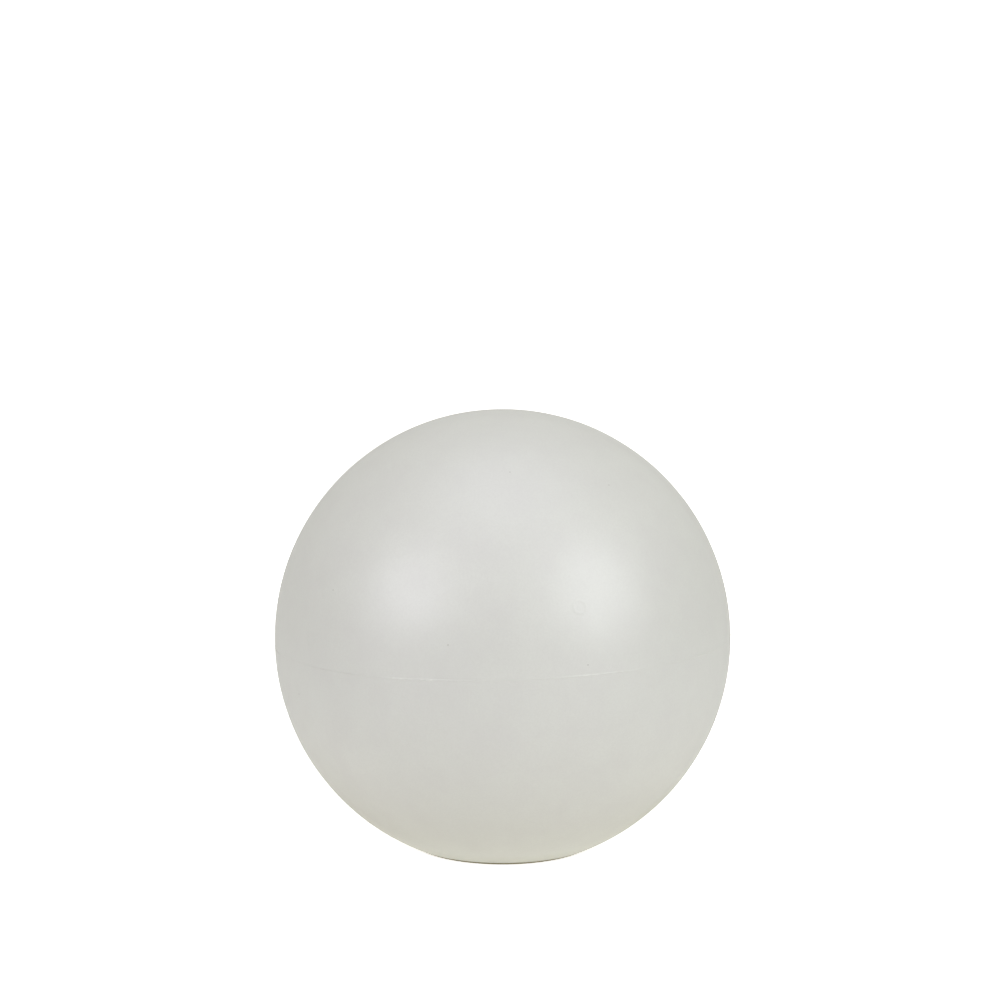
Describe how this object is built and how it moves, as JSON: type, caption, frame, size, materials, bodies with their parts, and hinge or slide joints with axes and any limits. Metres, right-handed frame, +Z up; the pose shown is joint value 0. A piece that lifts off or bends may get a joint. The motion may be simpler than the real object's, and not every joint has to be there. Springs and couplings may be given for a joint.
{
  "type": "garden globe light",
  "caption": "Cordless garden globe light: an off-white moulded globe that turns and lifts off a round base with its battery, switch, charge port and light source.",
  "frame": {"origin": "middle of the foot ring, on the surface that the light stands on", "axes": "+Z up; the front of the light, as pictured, faces -Y; +X is to the right seen from the front"},
  "size_m": [0.4004, 0.4006, 0.3824],
  "materials": {
    "pe_shell": "satin off-white rotomoulded polyethylene",
    "base_shell": "fine-textured warm grey moulded plastic",
    "khaki_rubber": "matt khaki rubber",
    "seal_rubber": "matt black rubber",
    "clear_silicone": "translucent grey silicone",
    "stainless": "plain stainless steel",
    "brass_insert": "knurled brass",
    "tray_black": "black moulded plastic",
    "cell_sleeve": "steel can in a blue shrink sleeve",
    "nickel": "nickel strip",
    "board_green": "green solder mask",
    "board_white": "white solder mask on aluminium",
    "chip_black": "black moulded package",
    "ferrite": "dark grey ferrite",
    "can_aluminium": "bright aluminium can",
    "socket_cream": "cream nylon",
    "lead_sleeve": "red lead insulation",
    "lead_white": "white lead insulation",
    "button_grey": "satin grey button",
    "port_metal": "bright socket shell",
    "heat_aluminium": "turned aluminium",
    "led_phosphor": "white package with yellow phosphor",
    "dome_opal": "opal diffuser plastic",
    "clear_pipe": "clear acrylic"
  },
  "bodies": {
    "base": {"base_pan": "base_shell", "foot_ring": "khaki_rubber", "bottom_cover": "base_shell", "cover_seal": "seal_rubber", "cover_inserts": "brass_insert", "cover_screws": "stainless", "battery_tray": "tray_black", "battery_cell_1": "cell_sleeve", "battery_cell_2": "cell_sleeve", "battery_cell_3": "cell_sleeve", "cell_contacts": "nickel", "battery_leads": "lead_sleeve", "driver_board": "board_green", "board_screws": "stainless", "driver_chips": "chip_black", "power_inductor": "ferrite", "buffer_capacitor": "can_aluminium", "lead_sockets": "socket_cream", "control_board": "board_green", "control_screws": "stainless", "board_header": "chip_black", "push_switch": "port_metal", "button_seal": "clear_silicone", "button_spring": "stainless", "charge_port": "port_metal", "flap_pin": "stainless", "status_led": "led_phosphor", "light_pipe": "clear_pipe", "deck_grommet": "clear_silicone", "heat_spreader": "heat_aluminium", "led_board": "board_white", "white_leds": "led_phosphor", "led_screws": "stainless", "diffuser_dome": "dome_opal", "dome_seal": "seal_rubber", "dome_screws": "stainless", "led_leads": "lead_white"},
    "gasket_ring": {"globe_gasket": "seal_rubber"},
    "globe": {"globe_shell": "pe_shell"},
    "button": {"power_button": "button_grey", "switch_plunger": "chip_black"},
    "flap": {"port_flap": "khaki_rubber"}
  },
  "joints": [
    {"name": "globe_turn", "type": "hinge", "parent": "base", "child": "gasket_ring", "pos_m": [0, 0, 0.0075], "axis": [0, 0, 1], "range_deg": [0, 720]},
    {"name": "globe_lift", "type": "slide", "parent": "gasket_ring", "child": "globe", "axis": [0, 0, 1], "range_m": [0, 0.096]},
    {"name": "button_press", "type": "slide", "parent": "base", "child": "button", "axis": [0, 0, 1], "range_m": [0, 0.0012], "stiffness_N_per_m": 800, "springref_m": -0.001, "deforming": ["button_spring"]},
    {"name": "port_flap_swing", "type": "hinge", "parent": "base", "child": "flap", "pos_m": [0.041, 0.0136, 0.0038], "axis": [1, 0, 0], "range_deg": [0, 100]}
  ],
  "couplings": [
    {"joint": "globe_lift", "follows": "globe_turn", "m_per_rad": 0.0076394}
  ]
}
